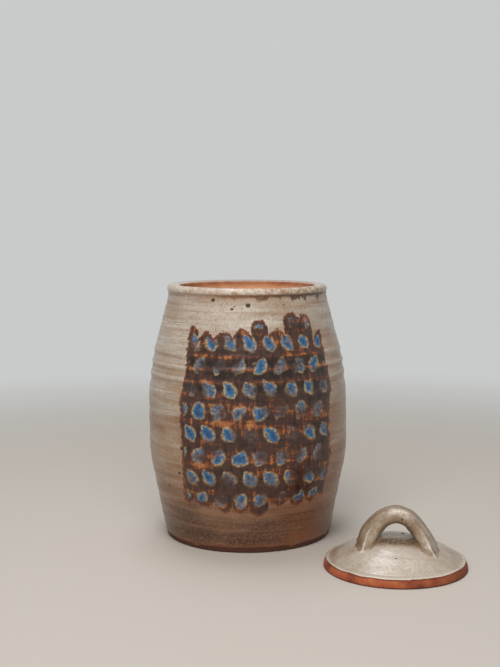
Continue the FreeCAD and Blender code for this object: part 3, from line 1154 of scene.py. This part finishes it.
@dataclass
class LidDisc:
    """The lid's domed disc, with its bare edge and the hollow underneath."""

    centre: Vector
    radius: float
    height: float
    turn: float = -6.0
    edge: float = 0.0063
    edge_draft: float = 0.0019
    edge_bulge: float = 0.0005
    bead_height: float = 0.00065
    bead_width: float = 0.0026
    bead_crown: float = 0.0011
    flare_radius: float = 0.0479
    rim: float = 0.008
    wall: float = 0.0065
    rings: int = 64
    steps: int = 288

    @property
    def dome_radius(self) -> float:
        """Return the radius at which the dome starts."""
        return self.radius - self.edge_draft - self.bead_width

    @property
    def sphere(self) -> float:
        """Return the radius of the sphere that the dome is part of."""
        rise = self.height - self.edge
        return (self.dome_radius ** 2 + rise ** 2) / (2 * rise)

    def dome_height(self, radius: float) -> float:
        """Return the height of the dome at a radius."""
        return self.height - self.sphere + math.sqrt(max(self.sphere ** 2 - radius ** 2, 0.0))

    def dome_normal(self, x: float, y: float) -> Vector:
        """Return the way that the dome faces at a place over the lid's middle."""
        drop = math.sqrt(max(self.sphere ** 2 - x ** 2 - y ** 2, 0.0))
        return Vector((x, y, drop)).normalized()

    def outline(self) -> tuple[list[Vector], list[float]]:
        """Draw the outline from the dome's middle round to the hollow's.

        Returns:
            The points, and how far above the glaze's edge each of them lies.
        """
        top_radius = self.radius - self.edge_draft
        points = []
        for count in range(self.rings):
            radius = self.flare_radius * count / self.rings
            points.append(place(radius, self.dome_height(radius)))
        foot = place(self.flare_radius, self.dome_height(self.flare_radius))
        crown = place(top_radius - self.bead_crown, self.edge + self.bead_height)
        shoulder = place(top_radius + 0.0001, self.edge + 0.25 * self.bead_height)
        points = points[:-1] + smooth_curve([points[-1], foot, crown, shoulder], 0.0005)
        glazed = len(points)
        middle = place(self.radius - self.edge_draft / 2 + self.edge_bulge, self.edge / 2)
        low = place(self.radius, 0.0005)
        points += smooth_curve([place(top_radius - 0.0002, self.edge), middle, low], 0.0005)
        points += [place(self.radius - 0.00015, 0.00015), place(self.radius - 0.0005, 0)]
        hollow_radius = self.radius - self.rim
        points += straight_points(place(self.radius - 0.001, 0), place(hollow_radius, 0), 0.0012)
        hollow = self.height - self.wall
        sphere = (hollow_radius ** 2 + hollow ** 2) / (2 * hollow)
        for count in range(1, self.rings // 2 + 1):
            radius = hollow_radius * (1 - 2 * count / self.rings)
            points.append(place(radius, hollow - sphere + math.sqrt(sphere ** 2 - radius ** 2)))
        runs = run_lengths(points)
        border = (runs[glazed - 1] + runs[glazed]) / 2
        return points, [border - run for run in runs]

    def seat(self, mesh: bmesh.types.BMesh) -> None:
        """Turn a mesh of the lid and move it to the lid's place."""
        matrix = Matrix.Translation(self.centre) @ Matrix.Rotation(math.radians(self.turn), 4, "Z")
        bmesh.ops.transform(mesh, matrix=matrix, verts=mesh.verts)

    def spots(self, beads: tuple[BeadSpot, ...]) -> list[tuple[Vector, float]]:
        """Turn places over the lid's own middle into places in the shared frame.

        Args:
            beads: three lengths and a width for each bead, in millimetres.

        Returns:
            A place and a width, in millimetres, for each bead.
        """
        turn = Matrix.Rotation(math.radians(self.turn), 3, "Z")
        return [(turn @ Vector(bead[:3]) + self.centre / MM, bead[3]) for bead in beads]

    def build(self, material: Material) -> Piece:
        """Make the disc's mesh.

        Args:
            material: its finish.

        Returns:
            The finished object.
        """
        points, marks = self.outline()
        mesh = spun(points, marks, self.steps, "above_glaze_edge")
        layer = mesh.verts.layers.float["above_glaze_edge"]
        thin_and_light_layer = mesh.verts.layers.float.new("thin_glaze")
        for vert in mesh.verts:
            azimuth = math.atan2(vert.co.y, vert.co.x)
            radius = math.hypot(vert.co.x, vert.co.y)
            mark = vert[layer]
            round_x = math.cos(azimuth)
            round_y = math.sin(azimuth)
            vert[layer] = mark + 0.0007 * wander(2.5 * round_x, 2.5 * round_y, 3.3)
            # Browner with distance from a spot near the front of the dome.
            off = math.hypot(vert.co.x + 0.004, vert.co.y + 0.034) / self.radius
            # Painted shadow of the strap on the dome, under it and just in front of it.
            shade = bell(vert.co.x - 0.001, 0.020) * bell(vert.co.y + 0.012, 0.007)
            # Browner towards the sides of the dome; the extra on the right side is painted shade.
            flank = ease(vert.co.x, 0.018, 0.050) + 0.4 * ease(-vert.co.x, 0.018, 0.050)
            vert[thin_and_light_layer] = 0.12 * ease(off, 0.25, 1.0) + 0.20 * flank + 0.95 * shade
            vert[thin_and_light_layer] += 0.10 * wander(vert.co.x / 0.02, vert.co.y / 0.02, 5.0)
            if mark > 0.004:
                rings = 0.00022 * wander(0.8 * round_x, 0.8 * round_y, radius / 0.0042)
                swell = 0.00035 * wander(vert.co.x / 0.025, vert.co.y / 0.025, 9.0)
                vert.co.z += (rings + swell) * ease(mark, 0.004, 0.009)
            elif vert.co.z > 0.0004 and radius > self.radius - self.rim:
                out = 0.00028 * wander(1.5 * round_x, 1.5 * round_y, 2.0)
                out += 0.00012 * wander(1.1 * round_x, 1.1 * round_y, vert.co.z / 0.0012)
                vert.co.x += out * round_x
                vert.co.y += out * round_y
                vert.co.z += 0.0004 * ease(mark, -0.002, 0.0) * wander(4 * round_x, 4 * round_y, 7.0)
        self.seat(mesh)
        return finished(mesh, "thrown_lid", material)


@dataclass
class StrapHandle:
    """The pulled strap that arches over the lid, with its roots pressed out on the dome."""

    lid: LidDisc
    width: float = 0.021
    inner_squareness: float = 2.2
    outer_squareness: float = 2.9
    grooves: int = 3
    groove_depth: float = 0.0008
    flare: float = 0.0080
    flare_height: float = 0.0090
    lean: dict[Root, float] = field(default_factory=lambda: {Root.LEFT: 0.002, Root.RIGHT: 0.005})
    pinch: float = 0.0012
    smear: float = 0.0018
    thumb_mark: Vector = field(default_factory=lambda: Vector((0.0268, -0.0205, 0.0195)))
    pinhole: Vector = field(default_factory=lambda: Vector((-0.0265, -0.0185, 0.0185)))
    thumb_depth: float = 0.0013
    thumb_size: float = 0.0036
    pinhole_depth: float = 0.0007
    pinhole_size: float = 0.0013
    sunk: float = 0.0003
    stations: int = 170
    strands: int = 120
    # The points that each arch passes through: to the right of the lid's middle, and up.
    inner_knots: tuple[tuple[float, float], ...] = (
        (-0.0180, 0.0140),
        (-0.0142, 0.0208),
        (-0.0110, 0.0250),
        (-0.0086, 0.0282),
        (-0.0052, 0.0320),
        (0.0004, 0.0338),
        (0.0058, 0.0320),
        (0.0093, 0.0282),
        (0.0122, 0.0248),
        (0.0158, 0.0204),
        (0.0205, 0.0130),
    )
    outer_knots: tuple[tuple[float, float], ...] = (
        (-0.0300, 0.0110),
        (-0.0282, 0.0210),
        (-0.0250, 0.0298),
        (-0.0190, 0.0368),
        (-0.0115, 0.0430),
        (0.0006, 0.0464),
        (0.0118, 0.0430),
        (0.0188, 0.0366),
        (0.0245, 0.0292),
        (0.0295, 0.0210),
        (0.0345, 0.0095),
    )

    def arches(self) -> list[tuple[Vector, Vector]]:
        """Draw the inner and the outer arch, from the left root to the right.

        Returns:
            A point of each arch, for every station along the strap.
        """
        inner = [place(*knot) for knot in self.inner_knots]
        outer = [place(*knot) for knot in self.outer_knots]
        steps = self.stations // (len(inner) - 1)
        pairs = []
        for number in range(len(inner) - 1):
            bends = [self.bend(arch, number, steps) for arch in (inner, outer)]
            pairs.extend(zip(*bends))
        return pairs + [(inner[-1], outer[-1])]

    def bend(self, arch: list[Vector], number: int, steps: int) -> list[Vector]:
        """Return points of one bend of an arch, without its last.

        Args:
            arch: the points that the arch passes through.
            number: the bend's place in the arch.
            steps: how many points it gets.

        Returns:
            The points.
        """
        before = arch[max(number - 1, 0)]
        start = arch[number]
        end = arch[number + 1]
        after = arch[min(number + 2, len(arch) - 1)]
        leave = (end - before) / (3 if number == 0 else 6)
        arrive = (after - start) / (3 if number == len(arch) - 2 else 6)
        return interpolate_bezier(start, start + leave, end - arrive, end, steps + 1)[:-1]

    def section(self, inner: Vector, outer: Vector) -> list[tuple[Vector, float]]:
        """Return the strap's section between a point of each arch.

        Args:
            inner: the point of the inner arch.
            outer: the point of the outer arch.

        Returns:
            For each strand its point, and how thin the glaze lies on it.
        """
        middle = (inner + outer) / 2
        through = outer - inner
        root = Root.RIGHT if middle.x > 0 else Root.LEFT
        above = middle.z - self.lid.dome_height(abs(middle.x))
        spread = 1 - ease(above, -0.002, self.flare_height)
        width = self.width + 2 * self.flare * spread
        ring = []
        for count in range(self.strands):
            angle = math.tau * count / self.strands
            squareness = self.outer_squareness if math.sin(angle) > 0 else self.inner_squareness
            side = math.copysign(abs(math.cos(angle)) ** (2 / squareness), math.cos(angle))
            face = math.copysign(abs(math.sin(angle)) ** (2 / squareness), math.sin(angle))
            point = middle + through * face / 2
            # Browner towards the inner face of the strap.
            thin = 0.22 * ease(-face, 0.3, 0.9)
            if face > 0:
                hollow = abs(math.sin(math.pi * self.grooves * (side + 1) / 2))
                point -= through.normalized() * self.groove_depth * hollow * face
                thin = 0.80 * (1 - hollow) ** 3 * ease(face, 0.4, 0.8)
            point.y += width * side / 2 - self.lean[root] * spread
            # The pinched ridge at each root's near edge is real relief; its paler glaze is a painted
            # highlight.
            pinch = spread * bell(side + 0.97, 0.07) * bell(face - 0.45, 0.22)
            point.y -= self.pinch * pinch
            # Painted highlight: the glaze is paler along the strap's near top edge at the crown.
            crown = bell(middle.x - 0.002, 0.009) * bell(side + 0.75, 0.35) * ease(face, -0.2, 0.5)
            ring.append((point, thin - 0.6 * pinch - 0.75 * crown))
        return ring

    def build(self, material: Material) -> Piece:
        """Make the strap's mesh, with its roots smeared into the dome.

        Args:
            material: its finish.

        Returns:
            The finished object.
        """
        mesh = bmesh.new()
        edge_layer = mesh.verts.layers.float.new("above_glaze_edge")
        thin_and_light_layer = mesh.verts.layers.float.new("thin_glaze")
        rings = []
        for inner, outer in self.arches():
            made = bmesh.ops.create_circle(
                mesh, cap_ends=False, radius=self.width / 2, segments=self.strands
            )
            for vert, (point, thin) in zip(made["verts"], self.section(inner, outer)):
                vert.co = point
                vert[edge_layer] = 1.0
                vert[thin_and_light_layer] = thin + 0.06
            rings.append(made["verts"])
        for before, after in zip(rings, rings[1:]):
            edges = []
            for ring in (before, after):
                for start, end in zip(ring, ring[1:] + ring[:1]):
                    edges.append(mesh.edges.get((start, end)))
            bmesh.ops.bridge_loops(mesh, edges=edges)
        for ring in (rings[0], rings[-1]):
            bmesh.ops.contextual_create(mesh, geom=list(ring))
        bmesh.ops.recalc_face_normals(mesh, faces=mesh.faces)
        mesh.normal_update()
        moves = [self.pressed(vert.co, vert.normal) for vert in mesh.verts]
        for vert, move in zip(mesh.verts, moves):
            vert.co = move
        self.lid.seat(mesh)
        return finished(mesh, "pulled_handle", material)

    def pressed(self, point: Vector, facing: Vector) -> Vector:
        """Return where a point of the strap goes when the potter's hand has finished it.

        Args:
            point: the point, over the lid's middle.
            facing: the way that the strap faces there.

        Returns:
            The moved point, with the strap's unevenness, the thumb's mark and the root's smear.
        """
        lumps = 0.00028 * wander(point.x / 0.009, point.y / 0.009, point.z / 0.009)
        lumps += 0.00010 * wander(point.x / 0.003, point.y / 0.003, point.z / 0.003)
        lumps -= self.thumb_depth * bell((point - self.thumb_mark).length, self.thumb_size)
        lumps -= self.pinhole_depth * bell((point - self.pinhole).length, self.pinhole_size)
        moved = point + facing * lumps
        radius = math.hypot(moved.x, moved.y)
        up = self.lid.dome_normal(moved.x, moved.y)
        above = (moved.z - self.lid.dome_height(radius)) * up.z
        smear = self.smear * (1 + 0.4 * wander(point.x / 0.008, point.y / 0.008, 3.0))
        outward = facing - up * facing.dot(up)
        if above >= smear or outward.length < 1e-6:
            return moved
        outward.normalize()
        share = min(1 - above / smear, 1.0)
        spread = smear * (1 - math.sqrt(max(1 - share * share, 0.0)))
        if above < -self.sunk:
            moved += up * (-self.sunk - above) * 0.8
        return moved + outward * spread


@dataclass(frozen=True)
class Lamp:
    """A soft square lamp: its place, the length of its side, its watts, and if the glaze mirrors it."""

    name: str
    at: tuple[float, float, float]
    size: float
    power: float
    tint: str
    mirrored: bool = True


@dataclass
class Studio:
    """The camera, the lamps, the floor and the pale background."""

    camera_place: Vector = field(default_factory=lambda: Vector((0.0022, -0.900, 0.2545)))
    pitch: float = 0.096
    roll: float = -0.0053
    lens: float = 58.23
    sensor: float = 36.0
    backdrop: str = "#c9cbca"
    floor_colour: str = "#bfb7ad"
    floor_reach: float = 6.0
    fade_start: float = 0.30
    fade_end: float = 1.10
    fill_colour: str = "#f4f6f8"
    fill_strength: float = 0.20
    aim: Vector = field(default_factory=lambda: Vector((0.04, -0.04, 0.09)))
    lamps: tuple[Lamp, ...] = (
        Lamp("skylight", (-0.12, 0.28, 1.40), 0.62, 7.6, "#f6f9ff"),
        Lamp("window", (-0.16, -1.75, 1.05), 2.00, 35.0, "#fffbf5", mirrored=False),
        Lamp("pane", (-0.15, -0.60, 1.15), 0.45, 4.5, "#fbfcff"),
    )

    def set_camera(self) -> None:
        """Place the camera where the photograph was taken from."""
        data = bpy.data.cameras.new("camera")
        data.sensor_fit = "VERTICAL"
        data.sensor_height = self.sensor
        data.lens = self.lens
        camera = bpy.data.objects.new("camera", data)
        turn = Euler((math.pi / 2 - self.pitch, 0, 0)).to_matrix() @ Matrix.Rotation(self.roll, 3, "Z")
        camera.matrix_world = Matrix.Translation(self.camera_place) @ turn.to_4x4()
        bpy.context.scene.collection.objects.link(camera)
        bpy.context.scene.camera = camera

    def add_lamp(self, lamp: Lamp) -> None:
        """Add a lamp that faces the jar and the lid.

        Args:
            lamp: the lamp's place, size, power and tint.
        """
        data = bpy.data.lights.new(lamp.name, "AREA")
        data.shape = "SQUARE"
        data.size = lamp.size
        data.energy = lamp.power
        data.color = hex_colour(lamp.tint)[:3]
        piece = bpy.data.objects.new(lamp.name, data)
        piece.visible_glossy = lamp.mirrored
        at = Vector(lamp.at)
        turn = (self.aim - at).to_track_quat("-Z", "Y").to_matrix().to_4x4()
        piece.matrix_world = Matrix.Translation(at) @ turn
        bpy.context.scene.collection.objects.link(piece)

    def light(self) -> None:
        """Add the lamps and the even light of the room."""
        for lamp in self.lamps:
            self.add_lamp(lamp)
        world = bpy.data.worlds.new("room")
        add = Nodes(world).add
        seen = add("LightPath", output="Is Camera Ray")
        for ray in ("Is Glossy Ray", "Is Transmission Ray"):
            seen = add("Math MAXIMUM", seen, add("LightPath", output=ray))
        fill = add("Background", Color=self.fill_colour, Strength=self.fill_strength)
        wall = add("Background", Color=self.backdrop, Strength=1)
        add("OutputWorld", Surface=add("MixShader", seen, fill, wall))
        bpy.context.scene.world = world

    def lay_floor(self) -> Piece:
        """Lay a wide pale floor that fades into the background a short way off.

        Returns:
            The floor.
        """
        material = bpy.data.materials.new("pale_floor")
        add = Nodes(material).add
        spot = add("TexCoord", output="Object")
        way_off = add("VectorMath LENGTH", spot, output="Value")
        faded = add(
            "MapRange", way_off, self.fade_start, self.fade_end, 0, 1, interpolation_type="SMOOTHSTEP"
        )
        near = add("BsdfPrincipled", Base_Color=self.floor_colour, Roughness=0.7)
        far = add("Emission", Color=self.backdrop, Strength=1)
        add("OutputMaterial", Surface=add("MixShader", faded, near, far))
        mesh = bmesh.new()
        bmesh.ops.create_grid(mesh, x_segments=1, y_segments=1, size=self.floor_reach)
        return finished(mesh, "floor", material)

    def build(self) -> None:
        """Set up the whole studio."""
        self.set_camera()
        self.light()
        self.lay_floor()
        bpy.context.scene.view_settings.view_transform = "Standard"


def dress(piece: Piece, body: str, node: str | None = None) -> None:
    """Give a piece its body, and let it replace a node.

    Args:
        piece: the piece.
        body: the body that it rides on.
        node: the node that it replaces, if any.
    """
    if node is not None:
        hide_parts(node)
    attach(piece, body)
    LOG.info("%s: %d faces", piece.name, len(piece.data.polygons))


def main() -> None:
    """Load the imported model, make every piece and set up the studio."""
    logging.basicConfig(level=logging.INFO, format="%(message)s")
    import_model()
    iron = MoltenIron().build()

    _, jar_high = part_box("jar_body")
    jar = JarBody(height=jar_high[2], belly_radius=jar_high[0])
    thrown_jar = jar.build(AshGlaze().build(BrushedPanel()))
    dress(thrown_jar, "jar", "jar_body")
    jar_beads = IronBeads("jar_beads", jar.wall_spots(JAR_BEADS)).build(thrown_jar, iron)
    dress(jar_beads, "jar")

    lid_low, lid_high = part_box("lid_disc")
    centre = Vector(((lid_low[0] + lid_high[0]) / 2, (lid_low[1] + lid_high[1]) / 2, 0))
    lid = LidDisc(centre=centre, radius=(lid_high[0] - lid_low[0]) / 2, height=lid_high[2])
    thrown_lid = lid.build(LidGlaze().build("ash_glazed_lid"))
    dress(thrown_lid, "lid", "lid_disc")
    lid_beads = IronBeads("lid_beads", lid.spots(LID_BEADS)).build(thrown_lid, iron)
    dress(lid_beads, "lid")

    strap_glaze = LidGlaze(
        cream="#a29583", pale="#8c7a65", mottle="#77614c", brown="#5f4631", satin=0.14
    )
    handle = StrapHandle(lid).build(strap_glaze.build("glazed_strap"))
    dress(handle, "lid", "lid_handle")
    strap_beads = IronBeads("strap_beads", lid.spots(STRAP_BEADS)).build(handle, iron)
    dress(strap_beads, "lid")

    Studio().build()


if __name__ == "__main__":
    main()
